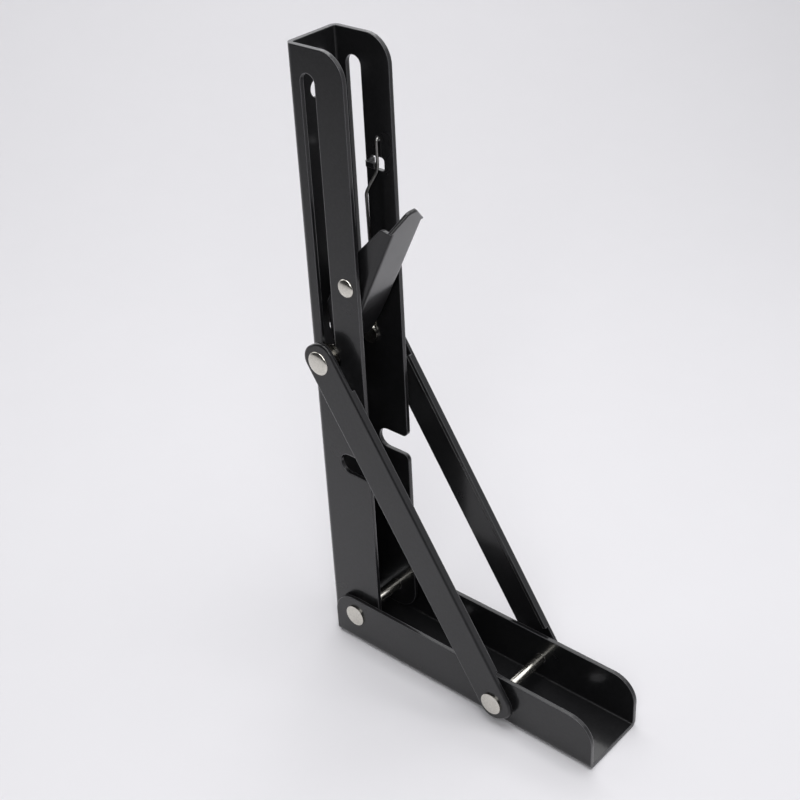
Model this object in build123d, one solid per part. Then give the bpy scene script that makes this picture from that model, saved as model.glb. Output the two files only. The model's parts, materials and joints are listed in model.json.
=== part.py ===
"""Folding shelf bracket with a self-locking strut pair and a thumb release lever.

The bracket stands on its wall arm, open and locked. X runs along the wall arm away from the
heel, Y along the pins, Z up along the shelf arm. The origin is the middle of the two wall
screw holes, on the face that goes against the wall. Millimetres.
"""
import os
from math import cos, radians, sin, sqrt

from build123d import *

# Sheet and fits
sheet = 2.0                  # wall of both arms and of the struts
bend = 1.0                   # inner bend radius of the arms
running = 0.05               # radial clearance of a pin in its hole
small = 0.01                 # tolerance when a corner is picked by its place
face_gap = 0.05              # gap between faces that turn on each other
side_gap = 0.4               # gap between the strut lip and the wall arm
split_gap = 0.3              # gap between the slide pins and the strut ends

# Wall arm
wall_length = 151.8
wall_width = 36.0
wall_height = 26.0
wall_corner = 12.0           # corner radius of its side walls
wall_hole_first = 29.0       # hinge axis to the first screw hole
wall_hole_pitch = 80.0
screw_hole = 8.0

# Main hinge, measured from the heel end and the wall face
hinge_inset = 12.8
hinge_height = 16.2
hinge_pin = 6.0
hinge_washer = 14.0

# Shelf arm
shelf_width = 29.0
shelf_depth = 30.5
shelf_reach = 283.8          # hinge axis to the free end
shelf_tail = 12.0            # hinge axis to the heel end
shelf_offset = 18.0          # hinge axis to the face under the shelf
shelf_corner = 12.0
shelf_hole_end = 22.8        # free end to the first screw hole
shelf_hole_pitch = 109.0
shelf_hole_count = 3

# Slots, and the notches that clear the lower strut rod when folded
slot_width = 8.0
slot_inset = 11.0            # face under the shelf to the slot's centre line
slot_overrun = 7.7           # travel left above the folded place of the slide pins
notch_width = 10.4
notch_rise = 1.3             # notch centre beyond the rod's folded place
notch_depth = 17.7
notch_lip = 3.0              # radius of the notch's mouth

# Struts
strut_length = 174.6         # between hole centres
strut_back = 8.0             # hole axis to the back edge
strut_front = 10.2           # hole axis to the front edge
strut_end = 8.8              # hole axis to the end
strut_corner = 7.5
strut_lip = 1.6              # how far the stiffening lip turns in past the sheet
lip_start = 14.0             # lower hole to the lip
lip_stop = 17.0              # lip to the upper hole
rod_reach = 87.0             # main hinge to the lower strut rod, along the wall arm
rod_height = 12.5            # wall face to the lower strut rod
rod = 5.0
strut_washer = 13.0
upper_rivet = 6.0

# Slide pins in the slots
slot_running = 0.1
pin_head = 9.5
pin_head_thickness = 1.2
spacer = 13.0
spacer_flange = 0.8          # thickness of its wide end, against the shelf arm
spacer_body = 10.6
upper_washer = 11.0

# Rivet heads
rivet_head_d = 10.8
upper_head = 11.4
lever_head = 8.6
head_rim = 0.35
head_dome = 0.95
flat_rim = 0.75              # the hinge rivet's and the rod's heads are nearly flat
flat_dome = 0.3

# Release lever, its points measured from its own pin
lever_rise = 38.0            # slide pins to the lever pin, with the bracket open
lever_inset = 23.9           # face under the shelf to the lever pin
lever_width = 21.2
lever_sheet = 1.6
lever_pin = 5.0
lever_web_gap = 8.3          # lever pin to the outer face of the web
lever_lean = 64.0            # web's angle to the wall arm
lever_shoulder = 37.0        # lever pin to the tongue, along the web
lever_web_tail = 11.8        # lever pin to the lower end of the web, along the web
tongue_root = 12.0           # how far the tongue's straight part runs down between the plates
tongue_length = 8.3          # from where it leaves the plates to its tip
tongue_tip = 5.0             # width of its tip, before rounding
tongue_corner = 4.0
tongue_round = 0.7           # radius along its outer edge
plate_back = (               # back edge of its plates: x, z and radius at each corner
    (18.4, 31.0, 2.5),
    (12.4, 24.8, 0),
    (5.0, 17.3, 0),
    (-12.4, -6.9, 6.0),
    (-16.5, -14.5, 4.0),
    (-16.9, -19.5, 0),
)
plate_neck = (-3.5, -25.0, 4.0)  # front edge of its plates, above the nose
nose_gap = 0.5               # between the slide pins and the nose above them
nose_back = 1.4              # back of the slide pins to the back of the nose
nose_front = 0.5             # front of the slide pins to the front of the nose
nose_corner = 1.5

# Lever spring and its anchor on the right side wall
wire = 1.4
wire_bend = 1.4              # radius of its bends, to the middle of the wire
wire_knuckle = 1.46          # outside of the wire where the legs leave the coil
coil_radius = 4.2            # to the middle of the wire
coil_pitch = 1.7
coil_whole_turns = 3
coil_right = 6.5             # middle plane to the coil's right end
push_leg = 12.5              # coil to the end of the leg that pushes the web
push_splay = 8.0             # angle between that leg and the web
anchor_window_width = 7.6
anchor_window_height = 6.0
anchor_rise = 46.8           # lever pin to the anchor window
anchor_inset = 21.4
anchor_window_corner = 1.5
hook_width = 2.6
hook_sheet = 1.2
hook_reach = 5.4
hook_corner = 0.95
wire_inset = 22.3            # face under the shelf to the spring's fixed leg
wire_hole = 2.2
wire_hole_rise = 58.0        # lever pin to the hole for the wire's end

# Places that follow from the sizes above
hinge_x = -(wall_hole_first + wall_hole_pitch / 2)
hinge_z = hinge_height
shelf_x = hinge_x - shelf_offset
slot_x = shelf_x + slot_inset
rod_x = hinge_x + rod_reach
rod_z = rod_height
slide_open = sqrt(strut_length**2 - (rod_x - slot_x)**2) + rod_z
rod_drop = hinge_z - rod_z
slot_offset = shelf_offset - slot_inset
slide_folded = rod_reach + sqrt(strut_length**2 - (rod_drop + slot_offset)**2)
slot_top = hinge_z + slide_folded + slot_overrun
lever_x = shelf_x + lever_inset
lever_z = slide_open + lever_rise
strut_in = wall_width / 2 + strut_lip + side_gap
strut_out = strut_in + sheet
slide_out = strut_in - strut_lip - split_gap
slide_pin = slot_width - 2 * slot_running
anchor_z = lever_z + anchor_rise
hole_z = lever_z + wire_hole_rise
strut_path = Vector(slot_x - rod_x, 0, slide_open - rod_z).normalized()
web_path = Vector(cos(radians(lever_lean)), 0, sin(radians(lever_lean)))
web_normal = Vector(web_path.Z, 0, -web_path.X)
wire_x = shelf_x + wire_inset
wire_y = shelf_width / 2 - sheet - wire / 2 - split_gap


def side_prism(face, half_width):
    """Extrude a side view, drawn in X and Z, to both sides of the middle plane."""
    return extrude(Plane.XZ * face, half_width, both=True)


def cross_cylinder(x, z, diameter, y_from, y_to):
    """A round bar along Y."""
    start = Plane(origin=(x, y_from, z), z_dir=(0, 1, 0))
    return extrude(start * Circle(diameter / 2), y_to - y_from)


def washer(x, z, outside, bore, y_from, y_to):
    """A flat ring whose axis is along Y."""
    blank = cross_cylinder(x, z, outside, y_from, y_to)
    return blank - cross_cylinder(x, z, bore, y_from - sheet, y_to + sheet)


def on_both_sides(solid):
    """The solid, modelled on the left (-Y) side, and its mirror image."""
    return [solid, mirror(solid, about=Plane.XZ)]


def rivet_head(x, z, diameter, rim, dome, seat, side):
    """A low domed head whose flat side lies at the distance seat from the middle plane."""
    radius = diameter / 2
    top = rim + dome
    outline = [
        Line((0, top), (0, 0)),
        Line((0, 0), (radius, 0)),
        Line((radius, 0), (radius, rim)),
        TangentArc((0, top), (radius, rim), tangent=(1, 0)),
    ]
    plane = Plane(origin=(x, side * seat, z), x_dir=(1, 0, 0), z_dir=(0, 0, side))
    axis = Axis((x, 0, z), (0, side, 0))
    return revolve(plane * make_face(outline), axis)


def headed_rod(x, z, diameter, head, rim, dome, seat):
    """A rod from side to side, riveted over into a head at each end."""
    rod_solid = cross_cylinder(x, z, diameter, -seat, seat)
    for side in (-1, 1):
        rod_solid += rivet_head(x, z, head, rim, dome, seat, side)
    return rod_solid


def channel_section(width, depth):
    """A folded U: its web on local Y = 0, its side walls reaching to Y = depth."""
    half = width / 2
    outline = Polyline(
        (-half, depth), (-half, 0), (half, 0), (half, depth), (half - sheet, depth),
        (half - sheet, sheet), (sheet - half, sheet), (sheet - half, depth), close=True,
    )
    face = make_face(outline)
    inner = [v for v in face.vertices() if abs(v.Y - sheet) < small]
    face = fillet(inner, bend)
    outer = [v for v in face.vertices() if abs(v.Y) < small]
    return fillet(outer, bend + sheet)


def screw_row(start, step, count, direction):
    """Screw holes along an arm's web, drilled along direction."""
    holes = []
    for index in range(count):
        centre = Vector(*start) + Vector(*step) * index
        plane = Plane(origin=centre, z_dir=direction)
        holes.append(extrude(plane * Circle(screw_hole / 2), 2 * sheet, both=True))
    return holes


def make_wall_arm():
    """The short channel that goes against the wall, with its web on Z = 0."""
    start = hinge_x - hinge_inset
    end = start + wall_length
    section = channel_section(wall_width, wall_height)
    arm = extrude(Plane.YZ.offset(start) * section, wall_length)
    side = Pos((start + end) / 2, wall_height / 2) * Rectangle(wall_length, wall_height)
    top = [v for v in side.vertices() if abs(v.Y - wall_height) < small]
    arm &= side_prism(fillet(top, wall_corner), wall_width)
    arm -= cross_cylinder(hinge_x, hinge_z, hinge_pin + 2 * running, -wall_width, wall_width)
    arm -= cross_cylinder(rod_x, rod_z, rod + 2 * running, -wall_width, wall_width)
    first = (hinge_x + wall_hole_first, 0, 0)
    for hole in screw_row(first, (wall_hole_pitch, 0, 0), 2, (0, 0, 1)):
        arm -= hole
    return arm


def shelf_side():
    """Side view of the shelf arm: rounded corners, and the notch for the folded rod."""
    low = hinge_z - shelf_tail
    high = hinge_z + shelf_reach
    edge = shelf_x + shelf_depth
    side = Pos((shelf_x + edge) / 2, (low + high) / 2) * Rectangle(shelf_depth, high - low)
    free = [v for v in side.vertices() if abs(v.X - edge) < small]
    side = fillet(free, shelf_corner)
    notch_z = hinge_z + rod_reach + notch_rise
    end_x = edge - notch_depth + notch_width / 2
    notch = Pos(end_x, notch_z) * Circle(notch_width / 2)
    notch += Pos(end_x + notch_depth / 2, notch_z) * Rectangle(notch_depth, notch_width)
    side -= notch
    mouth = [
        v for v in side.vertices()
        if abs(v.X - edge) < small and abs(v.Y - notch_z) < notch_width
    ]
    return fillet(mouth, notch_lip)


def make_shelf_arm():
    """The long channel under the shelf: slots, notches, and the spring's anchor."""
    top = hinge_z + shelf_reach
    end_plane = Plane(origin=(shelf_x, 0, top), x_dir=(0, 1, 0), z_dir=(0, 0, -1))
    arm = extrude(end_plane * channel_section(shelf_width, shelf_depth), shelf_reach + shelf_tail)
    arm &= side_prism(shelf_side(), shelf_width)

    slot_length = slot_top - slide_open
    slot = SlotCenterToCenter(slot_length, slot_width, rotation=90)
    arm -= side_prism(Pos(slot_x, (slot_top + slide_open) / 2) * slot, shelf_width)
    for x, z, pin in ((hinge_x, hinge_z, hinge_pin), (lever_x, lever_z, lever_pin)):
        arm -= cross_cylinder(x, z, pin + 2 * running, -shelf_width, shelf_width)
    first = (shelf_x, 0, top - shelf_hole_end)
    for hole in screw_row(first, (0, 0, -shelf_hole_pitch), shelf_hole_count, (1, 0, 0)):
        arm -= hole

    # Right side wall: a window with the hook folded out of it, and the hole for the wire's end
    anchor_x = shelf_x + anchor_inset
    window = RectangleRounded(anchor_window_width, anchor_window_height, anchor_window_corner)
    plane = Plane.XZ.offset(-shelf_width / 2)
    arm -= extrude(plane * (Pos(anchor_x, anchor_z) * window), 2 * sheet, both=True)
    arm -= cross_cylinder(wire_x, hole_z, wire_hole, 0, shelf_width)
    return arm + make_hook(anchor_x - anchor_window_width / 2)


def make_hook(root_x):
    """The hook that holds the spring wire: out from the wall, then over the wire."""
    wall = shelf_width / 2
    under = wire_y - wire / 2 - split_gap
    stem = Pos(root_x, (wall + under - hook_sheet) / 2, anchor_z)
    stem *= Box(hook_sheet, wall - under + hook_sheet, hook_width)
    cap = Pos(root_x + (hook_reach - hook_sheet) / 2, under - hook_sheet / 2, anchor_z)
    cap *= Box(hook_reach, hook_sheet, hook_width)
    hook = stem + cap
    corner = hook.edges().filter_by(Axis.Z).group_by(Axis.Y)[0].sort_by(Axis.X)[0]
    return fillet(corner, hook_corner)


def make_strut():
    """The left strut: a flat bar whose front edge turns in as a stiffening lip."""
    origin = (rod_x, -strut_out, rod_z)
    plane = Plane(origin=origin, x_dir=strut_path, z_dir=(0, 1, 0))
    length = strut_length + 2 * strut_end
    width = strut_back + strut_front
    middle = (strut_length / 2, (strut_front - strut_back) / 2)
    bar = Pos(*middle) * RectangleRounded(length, width, strut_corner)
    strut = extrude(plane * bar, sheet)
    lip_length = strut_length - lip_start - lip_stop
    lip = Pos(lip_start + lip_length / 2, strut_front - sheet / 2) * Rectangle(lip_length, sheet)
    strut += extrude(plane * lip, sheet + strut_lip)
    bend_edge = strut.edges().filter_by(Axis(origin, strut_path)).group_by(Axis.Y)[0]
    front = bend_edge.sort_by(Axis.X)[-1]
    strut = fillet(front, bend)
    for along, pin in ((0, rod), (strut_length, upper_rivet)):
        hole = plane * (Pos(along, 0) * Circle(pin / 2 + running))
        strut -= extrude(hole, 2 * sheet, both=True)
    return strut


def lever_plate_side():
    """Side view of the lever's two plates, from the nose up to the thumb tongue."""
    pin = Vector(lever_x, 0, lever_z)
    foot = pin + web_normal * lever_web_gap
    web_top = foot + web_path * lever_shoulder
    web_low = foot - web_path * lever_web_tail
    nose_z = slide_open + slide_pin / 2 + nose_gap
    corners = [(web_top.X, web_top.Z, 0)]
    corners += [(lever_x + dx, lever_z + dz, radius) for dx, dz, radius in plate_back]
    corners += [(slot_x - slide_pin / 2 + nose_back, nose_z, nose_corner)]
    corners += [(slot_x + slide_pin / 2 + nose_front, nose_z, nose_corner)]
    corners += [(lever_x + plate_neck[0], lever_z + plate_neck[1], plate_neck[2])]
    corners += [(web_low.X, web_low.Z, 0)]
    face = make_face(Polyline(*[(x, z) for x, z, radius in corners], close=True))
    for x, z, radius in corners:
        if radius:
            face = fillet(face.vertices().sort_by_distance((x, z, 0))[0], radius)
    return face


def make_lever():
    """The release lever: two nosed plates and a web folded from one sheet, and its tongue."""
    half = lever_width / 2
    inner_width = lever_width - 2 * lever_sheet
    foot = Vector(lever_x, 0, lever_z) + web_normal * lever_web_gap
    web = Plane(origin=foot, x_dir=web_path, z_dir=web_normal)
    lever = side_prism(lever_plate_side(), half)
    bends = lever.edges().filter_by(Axis(foot, web_path))
    bends = [e for e in bends if abs((e.center() - foot).dot(web_normal)) < small]
    lever = fillet(bends, bend + lever_sheet)
    top = (Align.CENTER, Align.CENTER, Align.MAX)
    hollow = Box(3 * lever_shoulder, inner_width, 2 * lever_shoulder, align=top)
    hollow = fillet(hollow.edges().filter_by(Axis.X).group_by(Axis.Z)[-1], bend)
    lever -= web.offset(-lever_sheet) * hollow
    root = Rectangle(tongue_root, inner_width - 2 * bend)
    tongue = Pos(lever_shoulder - tongue_root / 2, 0) * root
    front = tongue_tip / 2
    tip = Polyline(
        (0, half), (tongue_length, front), (tongue_length, -front), (0, -half), close=True
    )
    tip = make_face(tip)
    tip = fillet(tip.vertices().group_by(Axis.X)[-1], tongue_corner)
    tongue += Pos(lever_shoulder, 0) * tip
    lever += extrude(web * tongue, -lever_sheet)
    brow = [
        e for e in lever.edges()
        if abs((e.center() - foot).dot(web_normal)) < small
        and (e.center() - foot).dot(web_path) > lever_shoulder + small
    ]
    lever = fillet(brow, tongue_round)
    bore = lever_pin + 2 * running
    return lever - cross_cylinder(lever_x, lever_z, bore, -lever_width, lever_width)


def bent_wire(points):
    """A length of round wire through the points, bent to an arc at each corner."""
    path = FilletPolyline(*points, radius=wire_bend)
    section = Plane(origin=path @ 0, z_dir=path % 0) * Circle(wire / 2)
    return sweep(section, path=path)


def make_spring():
    """The torsion spring round the lever pin: one leg to the wall, one leg on the web."""
    push = radians(lever_lean - push_splay)
    start_angle = push - radians(90)
    turns = coil_whole_turns + (90 + lever_lean - push_splay) / 360
    height = coil_pitch * turns
    plane = Plane(
        origin=(lever_x, coil_right - height, lever_z),
        x_dir=(cos(start_angle), 0, sin(start_angle)),
        z_dir=(0, 1, 0),
    )
    coil = plane * Helix(coil_pitch, height, coil_radius)
    section = Plane(origin=coil @ 0, z_dir=coil % 0) * Circle(wire / 2)
    spring = sweep(section, path=coil, is_frenet=True)
    push_way = Vector(cos(push), 0, sin(push))
    spring += extrude(Plane(origin=coil @ 0, z_dir=push_way) * Circle(wire / 2), push_leg)
    fixed_leg = [
        coil @ 1,
        (wire_x, wire_y, anchor_z),
        (wire_x, wire_y, hole_z),
        (wire_x, shelf_width / 2 - wire / 2, hole_z),
    ]
    spring += bent_wire(fixed_leg)
    for end in (coil @ 0, coil @ 1):
        spring += Pos(end) * Sphere(wire_knuckle / 2)
    return spring


def slide_pin_solid():
    """The left slide pin: its flat inner head and its shank through the slot."""
    inside = shelf_width / 2 - sheet - face_gap
    shank = cross_cylinder(slot_x, slide_open, slide_pin, -slide_out, -inside)
    head_start = pin_head_thickness - inside
    return shank + cross_cylinder(slot_x, slide_open, pin_head, -inside, head_start)


def upper_rivet_solid():
    """The left strut's upper rivet: domed head, and shank through strut and washer."""
    seat = strut_out + face_gap
    inner = strut_in - strut_lip
    shank = cross_cylinder(slot_x, slide_open, upper_rivet, -seat, -inner)
    return shank + rivet_head(slot_x, slide_open, upper_head, head_rim, head_dome, seat, -1)


def slot_spacer_solid():
    """The left spacer on the slide pin: a wide flange on the shelf arm, and a narrower body."""
    bore = slide_pin + 2 * running
    seat = shelf_width / 2 + face_gap
    flange = washer(slot_x, slide_open, spacer, bore, -seat - spacer_flange, -seat)
    return flange + washer(slot_x, slide_open, spacer_body, bore, -slide_out, -seat)


def ring_pair(x, z, outside, pin, near, far):
    """Two like washers, one on each side, between the distances near and far."""
    bore = pin + 2 * running
    return on_both_sides(washer(x, z, outside, bore, -far + face_gap, -near - face_gap))


wall_half = wall_width / 2
shelf_half = shelf_width / 2
strut_left, strut_right = on_both_sides(make_strut())
slide_left, slide_right = on_both_sides(slide_pin_solid())
rivet_left, rivet_right = on_both_sides(upper_rivet_solid())
hinge_left, hinge_right = ring_pair(
    hinge_x, hinge_z, hinge_washer, hinge_pin, shelf_half, wall_half - sheet
)
rod_left, rod_right = ring_pair(rod_x, rod_z, strut_washer, rod, wall_half, strut_in)
upper_left, upper_right = ring_pair(
    slot_x, slide_open, upper_washer, upper_rivet, strut_in - strut_lip - face_gap, strut_in
)
spacer_left, spacer_right = on_both_sides(slot_spacer_solid())
nodes = {
    "wall_arm": make_wall_arm(),
    "shelf_arm": make_shelf_arm(),
    "strut_left": strut_left,
    "strut_right": strut_right,
    "hinge_rivet": headed_rod(
        hinge_x, hinge_z, hinge_pin, rivet_head_d, flat_rim, flat_dome, wall_half + face_gap
    ),
    "hinge_washer_left": hinge_left,
    "hinge_washer_right": hinge_right,
    "lower_strut_rod": headed_rod(
        rod_x, rod_z, rod, rivet_head_d, flat_rim, flat_dome, strut_out + face_gap
    ),
    "lower_washer_left": rod_left,
    "lower_washer_right": rod_right,
    "upper_rivet_left": rivet_left,
    "upper_rivet_right": rivet_right,
    "upper_washer_left": upper_left,
    "upper_washer_right": upper_right,
    "slide_pin_left": slide_left,
    "slide_pin_right": slide_right,
    "slot_spacer_left": spacer_left,
    "slot_spacer_right": spacer_right,
    "release_lever": make_lever(),
    "lever_rivet": headed_rod(
        lever_x, lever_z, lever_pin, lever_head, head_rim, head_dome, shelf_half + face_gap
    ),
    "lever_spring": make_spring(),
}

os.makedirs("parts", exist_ok=True)
for name, solid in nodes.items():
    export_step(solid, f"parts/{name}.step")
    print(f"{name}: {solid.volume:.1f} mm3")
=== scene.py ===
import bmesh
import bpy
import json
from math import radians
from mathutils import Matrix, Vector

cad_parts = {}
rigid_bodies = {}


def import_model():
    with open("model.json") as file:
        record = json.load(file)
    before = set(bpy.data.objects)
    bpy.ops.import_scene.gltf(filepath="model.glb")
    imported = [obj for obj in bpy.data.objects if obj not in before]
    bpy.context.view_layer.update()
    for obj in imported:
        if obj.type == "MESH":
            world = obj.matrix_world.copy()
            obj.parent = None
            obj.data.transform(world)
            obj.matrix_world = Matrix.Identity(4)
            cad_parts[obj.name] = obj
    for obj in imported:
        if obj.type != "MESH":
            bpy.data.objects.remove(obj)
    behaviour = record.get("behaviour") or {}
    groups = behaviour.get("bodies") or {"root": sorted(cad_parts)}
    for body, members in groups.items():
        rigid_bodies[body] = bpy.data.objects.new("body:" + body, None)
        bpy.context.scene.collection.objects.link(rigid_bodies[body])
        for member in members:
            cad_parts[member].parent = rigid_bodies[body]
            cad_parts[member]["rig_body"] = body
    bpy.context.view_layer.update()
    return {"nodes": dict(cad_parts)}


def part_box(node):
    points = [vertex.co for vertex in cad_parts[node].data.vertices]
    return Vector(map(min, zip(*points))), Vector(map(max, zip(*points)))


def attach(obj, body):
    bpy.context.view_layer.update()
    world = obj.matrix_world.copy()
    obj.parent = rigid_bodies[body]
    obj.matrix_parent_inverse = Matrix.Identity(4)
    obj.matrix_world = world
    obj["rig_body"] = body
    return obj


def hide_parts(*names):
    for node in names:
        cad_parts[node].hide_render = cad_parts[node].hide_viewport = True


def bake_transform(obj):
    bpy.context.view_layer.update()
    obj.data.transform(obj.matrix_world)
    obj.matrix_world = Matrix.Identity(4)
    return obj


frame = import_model()
nodes = frame["nodes"]

# ---- Camera -----------------------------------------------------------------------------------
# A short telephoto stands in front of the bracket's left side, above its free end, and looks
# down into both channels.
camera = bpy.data.objects.new("camera", bpy.data.cameras.new("camera"))
bpy.context.scene.collection.objects.link(camera)
camera.location = (0.31382, -0.39694, 0.4795)
camera.rotation_euler = (radians(57.682), radians(2.562), radians(40.776))
camera.data.sensor_width = 36.0
camera.data.lens = 64.29
camera.data.clip_start = 0.01
bpy.context.scene.camera = camera
bpy.context.scene.view_settings.view_transform = "Standard"


# ---- Black powder coat ------------------------------------------------------------------------
# The arms, the struts and the lever are folded from 2 mm and 1.6 mm sheet steel, then sprayed
# with black polyester powder and baked. The powder flows to a semi-gloss film with a faint
# orange peel and a smoother clear skin. A lighter grey is painted along the sheared edges as
# a highlight, for the light lines that the edges catch.
def linear(colour):
    """An sRGB hex colour as linear red, green, blue and alpha."""
    parts = [int(colour[i:i + 2], 16) / 255 for i in (1, 3, 5)]
    return [c / 12.92 if c <= 0.04045 else ((c + 0.055) / 1.055) ** 2.4 for c in parts] + [1.0]


def new_material(name):
    """A new material, with its node tree and its shader."""
    material = bpy.data.materials.new(name)
    material.use_nodes = True
    tree = material.node_tree
    return material, tree, tree.nodes["Principled BSDF"]


def add_node(tree, kind, settings=None, values=None, links=None):
    """Add a node with its settings, its unlinked values, and links into its inputs."""
    node = tree.nodes.new(kind)
    for key, value in (settings or {}).items():
        setattr(node, key, value)
    for key, value in (values or {}).items():
        node.inputs[key].default_value = value
    for key, source in (links or {}).items():
        tree.links.new(source, node.inputs[key])
    return node


def powder_coat():
    material, tree, shader = new_material("black powder coat, semi-gloss")
    place = add_node(tree, "ShaderNodeTexCoord")
    # Orange peel: waves about 1.2 mm across and a hundredth of a millimetre deep.
    peel = add_node(tree, "ShaderNodeTexNoise", values={"Scale": 850.0, "Detail": 2.0},
                    links={"Vector": place.outputs["Object"]})
    # Uneven film thickness: patches about 20 mm across, a little glossier or duller.
    film = add_node(tree, "ShaderNodeTexNoise", values={"Scale": 50.0, "Detail": 3.0},
                    links={"Vector": place.outputs["Object"]})
    gloss = add_node(tree, "ShaderNodeMapRange",
                     values={"From Min": 0.3, "From Max": 0.7, "To Min": 0.27, "To Max": 0.36},
                     links={"Value": film.outputs["Fac"]})
    tree.links.new(gloss.outputs["Result"], shader.inputs["Roughness"])
    # Fine flecks in the powder, just lighter than the film.
    tone = add_node(tree, "ShaderNodeValToRGB", links={"Fac": peel.outputs["Fac"]})
    tone.color_ramp.elements[0].position = 0.35
    tone.color_ramp.elements[0].color = linear("#161617")
    tone.color_ramp.elements[1].position = 0.75
    tone.color_ramp.elements[1].color = linear("#1c1c1e")
    # A lighter grey is painted along the edges, over about 0.8 mm, as a highlight for the light
    # lines that they catch.
    # The cosine between the rounded and the flat surface tells how near an edge is.
    rounded = add_node(tree, "ShaderNodeBevel", {"samples": 8}, {"Radius": 0.0008})
    surface = add_node(tree, "ShaderNodeNewGeometry")
    turned = add_node(tree, "ShaderNodeVectorMath", {"operation": "DOT_PRODUCT"},
                      links={0: rounded.outputs["Normal"], 1: surface.outputs["True Normal"]})
    edge = add_node(tree, "ShaderNodeMapRange", values={"From Min": 0.99, "From Max": 0.85},
                    links={"Value": turned.outputs["Value"]})
    # Painted highlight: the lighter grey that every edge gets.
    painted_edge_highlight = add_node(tree, "ShaderNodeMixRGB", values={"Color2": linear("#5a5a5d")},
                       links={"Fac": edge.outputs["Result"], "Color1": tone.outputs["Color"]})
    tree.links.new(painted_edge_highlight.outputs["Color"], shader.inputs["Base Color"])
    bump = add_node(tree, "ShaderNodeBump", values={"Strength": 0.12, "Distance": 0.0002},
                    links={"Height": peel.outputs["Fac"], "Normal": rounded.outputs["Normal"]})
    tree.links.new(bump.outputs["Normal"], shader.inputs["Normal"])
    shader.inputs["IOR"].default_value = 1.3
    # The clear skin of resin over the pigment, which shines most at a low angle.
    tree.links.new(bump.outputs["Normal"], shader.inputs["Coat Normal"])
    shader.inputs["Coat Weight"].default_value = 1.0
    shader.inputs["Coat IOR"].default_value = 1.27
    shader.inputs["Coat Roughness"].default_value = 0.12
    return material


def coat(node, material):
    """Give a CAD node its finish."""
    nodes[node].data.materials.clear()
    nodes[node].data.materials.append(material)


black_coat = powder_coat()
for sheet_piece in ("wall_arm", "shelf_arm", "strut_left", "strut_right", "release_lever"):
    coat(sheet_piece, black_coat)


# ---- Rivets and pins --------------------------------------------------------------------------
# Mild steel rivets and the rod, cold headed and riveted over, with a bright zinc plate. It
# has a fine grain and a soft, slightly warm shine.
def bright_zinc():
    material, tree, shader = new_material("bright zinc plate on steel")
    place = add_node(tree, "ShaderNodeTexCoord")
    # Grain of the plate, about 0.8 mm across, drawn that coarse so that it shows.
    grain = add_node(tree, "ShaderNodeTexNoise", values={"Scale": 1250.0, "Detail": 3.0},
                     links={"Vector": place.outputs["Object"]})
    tone = add_node(tree, "ShaderNodeValToRGB", links={"Fac": grain.outputs["Fac"]})
    tone.color_ramp.elements[0].position = 0.3
    tone.color_ramp.elements[0].color = linear("#c9c6be")
    tone.color_ramp.elements[1].position = 0.7
    tone.color_ramp.elements[1].color = linear("#dedbd2")
    tree.links.new(tone.outputs["Color"], shader.inputs["Base Color"])
    gloss = add_node(tree, "ShaderNodeMapRange",
                     values={"From Min": 0.3, "From Max": 0.7, "To Min": 0.14, "To Max": 0.26},
                     links={"Value": grain.outputs["Fac"]})
    tree.links.new(gloss.outputs["Result"], shader.inputs["Roughness"])
    bump = add_node(tree, "ShaderNodeBump", values={"Strength": 0.06, "Distance": 0.0001},
                    links={"Height": grain.outputs["Fac"]})
    tree.links.new(bump.outputs["Normal"], shader.inputs["Normal"])
    shader.inputs["Metallic"].default_value = 1.0
    return material


zinc = bright_zinc()
for pin in ("hinge_rivet", "lower_strut_rod", "slide_pin_left", "slide_pin_right"):
    coat(pin, zinc)


# ---- Domed rivets -----------------------------------------------------------------------------
# The struts' upper rivets and the lever's rivet, of the same plated steel. The riveting tool
# leaves an oval dome on each head, nearly flat in the middle and steep at its rim.
head_height = 0.0013
left_end, right_end = -1, 1


def new_piece(name, shape):
    """An object at the origin with a smooth mesh, made from a bmesh."""
    mesh = bpy.data.meshes.new(name)
    shape.to_mesh(mesh)
    shape.free()
    mesh.shade_smooth()
    piece = bpy.data.objects.new(name, mesh)
    bpy.context.scene.collection.objects.link(piece)
    return piece


def domed_rivet(node, shank, domed_ends):
    """A rivet in a CAD one's place: half its outline, spun round the shank's axis."""
    low, high = (Vector(corner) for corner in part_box(node))
    radius = (high.x - low.x) / 2
    rivet = bmesh.new()
    ends = []
    for side, tip in ((left_end, low.y), (right_end, high.y)):
        if side not in domed_ends:
            ends.append(rivet.verts.new((shank / 2, tip, 0.0)))
            rivet.edges.new([ends[-1], rivet.verts.new((0.0, tip, 0.0))])
            continue
        seat = tip - side * head_height
        rim = rivet.verts.new((radius, 0.0, 0.0))
        before = set(rivet.verts) - {rim}
        bmesh.ops.spin(rivet, geom=[rim], cent=(0, 0, 0), axis=(0, 0, 1), dvec=(0, 0, 0),
                       angle=radians(90), steps=16, use_duplicate=False)
        dome = [point for point in rivet.verts if point not in before]
        bmesh.ops.scale(rivet, vec=(1.0, side * head_height / radius, 1.0), verts=dome)
        bmesh.ops.translate(rivet, vec=(0.0, seat, 0.0), verts=dome)
        ends.append(rivet.verts.new((shank / 2, seat, 0.0)))
        rivet.edges.new([ends[-1], rim])
    rivet.edges.new(ends)
    bmesh.ops.spin(rivet, geom=rivet.verts[:] + rivet.edges[:], cent=(0, 0, 0), axis=(0, 1, 0),
                   dvec=(0, 0, 0), angle=radians(360), steps=64, use_merge=True)
    bmesh.ops.remove_doubles(rivet, verts=rivet.verts[:], dist=1e-6)
    bmesh.ops.translate(rivet, verts=rivet.verts[:],
                        vec=((low.x + high.x) / 2, 0.0, (low.z + high.z) / 2))
    bmesh.ops.recalc_face_normals(rivet, faces=rivet.faces[:])
    piece = new_piece(f"domed_{node}", rivet)
    piece.data.set_sharp_from_angle(angle=radians(35))
    piece.data.materials.append(zinc)
    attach(piece, nodes[node]["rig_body"])
    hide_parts(node)


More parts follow.
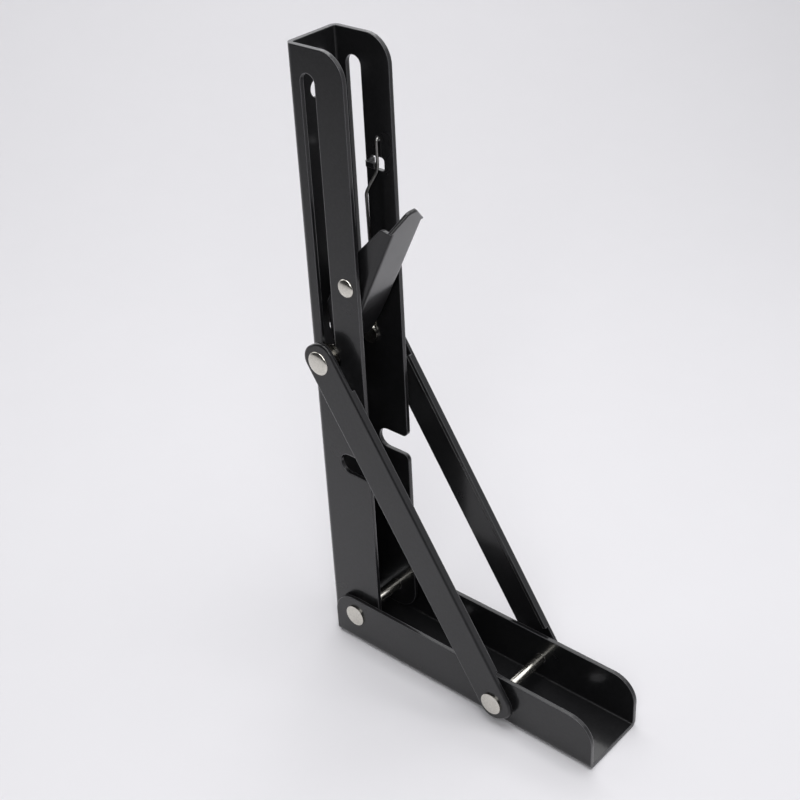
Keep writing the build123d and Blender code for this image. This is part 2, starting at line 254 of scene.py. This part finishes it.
domed_rivet("upper_rivet_left", shank=0.006, domed_ends=[left_end])
domed_rivet("upper_rivet_right", shank=0.006, domed_ends=[right_end])
domed_rivet("lever_rivet", shank=0.005, domed_ends=[left_end, right_end])


# ---- Washers ----------------------------------------------------------------------------------
# Rings punched from steel strip and zinc plated, which space the arms and struts apart. The
# joints turn on them, so their faces are duller than the rivets' heads.
def satin_zinc():
    material, tree, shader = new_material("zinc plate on punched steel")
    place = add_node(tree, "ShaderNodeTexCoord")
    # Rubbed patches about 1.1 mm across.
    wear = add_node(tree, "ShaderNodeTexNoise", values={"Scale": 900.0, "Detail": 4.0},
                    links={"Vector": place.outputs["Object"]})
    tone = add_node(tree, "ShaderNodeValToRGB", links={"Fac": wear.outputs["Fac"]})
    tone.color_ramp.elements[0].color = linear("#b3b1aa")
    tone.color_ramp.elements[1].color = linear("#d2cfc7")
    tree.links.new(tone.outputs["Color"], shader.inputs["Base Color"])
    gloss = add_node(tree, "ShaderNodeMapRange",
                     values={"From Min": 0.3, "From Max": 0.7, "To Min": 0.25, "To Max": 0.4},
                     links={"Value": wear.outputs["Fac"]})
    tree.links.new(gloss.outputs["Result"], shader.inputs["Roughness"])
    shader.inputs["Metallic"].default_value = 1.0
    return material


ring_zinc = satin_zinc()
for joint in ("hinge_washer", "lower_washer", "upper_washer"):
    for side in ("left", "right"):
        coat(f"{joint}_{side}", ring_zinc)


# ---- Slot spacers -----------------------------------------------------------------------------
# Flanged spacers turned from steel bar, which slide along the slots with the pins. Their zinc
# plate is painted darker than the washers', as shade for the shadow they sit in between strut
# and arm, and the flange's edge shines.
def shade_darkened_zinc():
    material, tree, shader = new_material("zinc on turned steel, darkened as painted shade")
    place = add_node(tree, "ShaderNodeTexCoord")
    # Clouds in the tone, about 2.5 mm across.
    tone_clouds = add_node(tree, "ShaderNodeTexNoise", values={"Scale": 400.0, "Detail": 3.0},
                     links={"Vector": place.outputs["Object"]})
    tone = add_node(tree, "ShaderNodeValToRGB", links={"Fac": tone_clouds.outputs["Fac"]})
    # The darker tone is painted shade: the spacers sit in shadow between strut and arm.
    tone.color_ramp.elements[0].color = linear("#72706c")
    tone.color_ramp.elements[1].color = linear("#94928d")
    tree.links.new(tone.outputs["Color"], shader.inputs["Base Color"])
    shader.inputs["Metallic"].default_value = 1.0
    shader.inputs["Roughness"].default_value = 0.22
    return material


painted_shade_zinc = shade_darkened_zinc()
for side in ("left", "right"):
    coat(f"slot_spacer_{side}", painted_shade_zinc)


# ---- Lever spring -----------------------------------------------------------------------------
# Hard-drawn 1.4 mm spring wire, coiled round the lever rivet and hooked on the far side wall.
# Drawing through a die leaves it smooth. Its tone is painted darker than bright steel, as shade
# for the dim channel round the coil. Its long leg runs up in the coil's own plane, then steps
# across to the wall just under the hook.
def spring_wire():
    material, tree, shader = new_material("hard-drawn spring wire")
    place = add_node(tree, "ShaderNodeTexCoord")
    # Dried oil, in patches about 1.7 mm across.
    oil = add_node(tree, "ShaderNodeTexNoise", values={"Scale": 600.0, "Detail": 3.0},
                   links={"Vector": place.outputs["Object"]})
    tone = add_node(tree, "ShaderNodeValToRGB", links={"Fac": oil.outputs["Fac"]})
    # The darker tone is painted shade, for the dim channel round the coil.
    tone.color_ramp.elements[0].color = linear("#7e7e7d")
    tone.color_ramp.elements[1].color = linear("#a8a7a4")
    tree.links.new(tone.outputs["Color"], shader.inputs["Base Color"])
    shader.inputs["Metallic"].default_value = 1.0
    shader.inputs["Roughness"].default_value = 0.3
    return material


# Heights of the long leg: where it leaves the coil, where it starts to step across, and where
# it is back on the CAD's straight leg. Up to the step it leans away, by the shift at most.
leg_foot, step_low, leg_top = 0.1998, 0.2320, 0.2432
leg_shift = Vector((-0.0019, -0.0039, 0.0))
# The long leg is what lies above its foot, at a smaller x and a greater y than these.
leg_x, leg_y = -0.063, 0.0055
# Where rings of edges are cut: a few up the straight run, and many through the step.
run_cuts = [0.2065 + 0.004 * ring for ring in range(6)]
step_cuts = [0.2316 + 0.0006 * ring for ring in range(20)]


def leg_offset(height):
    """How far the leg's middle lies from the CAD's straight leg at a height."""
    if height <= step_low:
        return leg_shift * max(0.0, (height - leg_foot) / (step_low - leg_foot))
    share = min(1.0, (height - step_low) / (leg_top - step_low))
    return leg_shift * (1.0 - share * share * (3.0 - 2.0 * share))


spring = bmesh.new()
spring.from_mesh(nodes["lever_spring"].data)
bmesh.ops.remove_doubles(spring, verts=spring.verts[:], dist=1e-6)
for height in run_cuts + step_cuts:
    bmesh.ops.bisect_plane(spring, geom=spring.verts[:] + spring.edges[:] + spring.faces[:],
                           plane_co=(0, 0, height), plane_no=(0, 0, 1))
for point in spring.verts:
    if leg_foot < point.co.z < leg_top and point.co.x < leg_x and point.co.y > leg_y:
        point.co += leg_offset(point.co.z)
stepped_spring = new_piece("stepped_lever_spring", spring)
stepped_spring.data.materials.append(spring_wire())
# The coil winds up between its leg on the wall and its leg on the lever.
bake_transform(stepped_spring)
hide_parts("lever_spring")


# ---- Floor and backdrop -----------------------------------------------------------------------
# A wide sheet of matt, pale grey paper. It lies flat under the bracket and curls up a little
# behind it, where its far edge hangs free.
def paper():
    material, tree, shader = new_material("pale grey background paper")
    place = add_node(tree, "ShaderNodeTexCoord")
    # Faint clouds of fibre, about 33 mm across.
    fibre = add_node(tree, "ShaderNodeTexNoise", values={"Scale": 30.0, "Detail": 4.0},
                     links={"Vector": place.outputs["Object"]})
    tone = add_node(tree, "ShaderNodeValToRGB", links={"Fac": fibre.outputs["Fac"]})
    tone.color_ramp.elements[0].color = linear("#e7e6ea")
    tone.color_ramp.elements[1].color = linear("#e9e8ec")
    tree.links.new(tone.outputs["Color"], shader.inputs["Base Color"])
    shader.inputs["Roughness"].default_value = 0.85
    return material


view_heading = Vector((-0.675, 0.737, 0.0)).normalized()
across = Vector((view_heading.y, -view_heading.x, 0.0))
paper_width = 2.2
near_length, sweep_start, sweep_radius = 1.0, 0.42, 0.9
left_edge = -across * paper_width / 2
sheet = bmesh.new()
run = [sheet.verts.new(left_edge - view_heading * near_length),
       sheet.verts.new(left_edge + view_heading * sweep_start)]
sheet.edges.new(run)
bend_centre = left_edge + view_heading * sweep_start + Vector((0, 0, sweep_radius))
bmesh.ops.spin(sheet, geom=[run[1]], cent=bend_centre, axis=across, dvec=(0, 0, 0),
               angle=radians(40), steps=24, use_duplicate=False)
bmesh.ops.extrude_edge_only(sheet, edges=sheet.edges[:])
right_edge = sheet.verts[len(sheet.verts) // 2:]
bmesh.ops.translate(sheet, verts=right_edge, vec=across * paper_width)
bmesh.ops.recalc_face_normals(sheet, faces=sheet.faces[:])
background = new_piece("background_paper", sheet)
background.data.materials.append(paper())


# ---- Light ------------------------------------------------------------------------------------
# Soft boxes: the main one over the bracket, one in front on its right, one behind on its left,
# and a weak one on each side. A long strip behind it shines in the pins. The room's pale walls
# show behind the paper and in reflections, where the unlit wall in front of it stays dim.
bracket_middle = Vector((0.0, 0.0, 0.1))


def soft_light(name, place, width, height, power):
    """A soft rectangular light that faces the bracket."""
    lamp = bpy.data.lights.new(name, "AREA")
    lamp.shape = "RECTANGLE"
    lamp.size = width
    lamp.size_y = height
    lamp.energy = power
    stand = bpy.data.objects.new(name, lamp)
    stand.location = place
    aim = bracket_middle - stand.location
    stand.rotation_euler = aim.to_track_quat("-Z", "Y").to_euler()
    bpy.context.scene.collection.objects.link(stand)
    return stand


soft_light("overhead_soft_box", (0.05, 0.0, 1.2), width=0.8, height=0.8, power=8.7)
soft_light("front_right_soft_box", (0.55, -0.75, 0.9), width=0.6, height=0.6, power=5.2)
soft_light("back_left_soft_box", (-0.6, 0.5, 0.95), width=0.8, height=0.8, power=3.3)
soft_light("left_soft_box", (-0.95, -0.1, 0.75), width=0.8, height=0.8, power=2.0)
soft_light("right_soft_box", (0.95, 0.2, 0.75), width=0.8, height=0.8, power=0.6)
strip = soft_light("rear_strip_light", (0.25, 0.85, 1.0), width=1.5, height=0.3, power=2.2)
# The strip hangs level and square to the bracket, and is only tipped towards it.
strip.rotation_euler = (radians(-40), 0, 0)

world = bpy.data.worlds.new("pale room")
bpy.context.scene.world = world
world.use_nodes = True
room = world.node_tree
ray = add_node(room, "ShaderNodeLightPath")
# In reflections the room goes from its dim front wall (-Y) to its pale sides and back.
direction = add_node(room, "ShaderNodeTexCoord")
axes = add_node(room, "ShaderNodeSeparateXYZ", links={"Vector": direction.outputs["Generated"]})
lit_wall = add_node(room, "ShaderNodeMapRange",
                    values={"From Min": -0.55, "From Max": -0.05, "To Min": 0.06},
                    links={"Value": axes.outputs["Y"]})
mirrored = add_node(room, "ShaderNodeMath", {"operation": "MULTIPLY"},
                    links={0: ray.outputs["Is Glossy Ray"], 1: lit_wall.outputs["Result"]})
# It is seen directly, in reflections and through clear things, but sheds no diffuse light.
seen = ray.outputs["Is Camera Ray"]
for other in (mirrored.outputs["Value"], ray.outputs["Is Transmission Ray"]):
    either = add_node(room, "ShaderNodeMath", {"operation": "MAXIMUM"},
                      links={0: seen, 1: other})
    seen = either.outputs["Value"]
room.nodes["Background"].inputs["Color"].default_value = linear("#e0e0e4")
room.links.new(seen, room.nodes["Background"].inputs["Strength"])
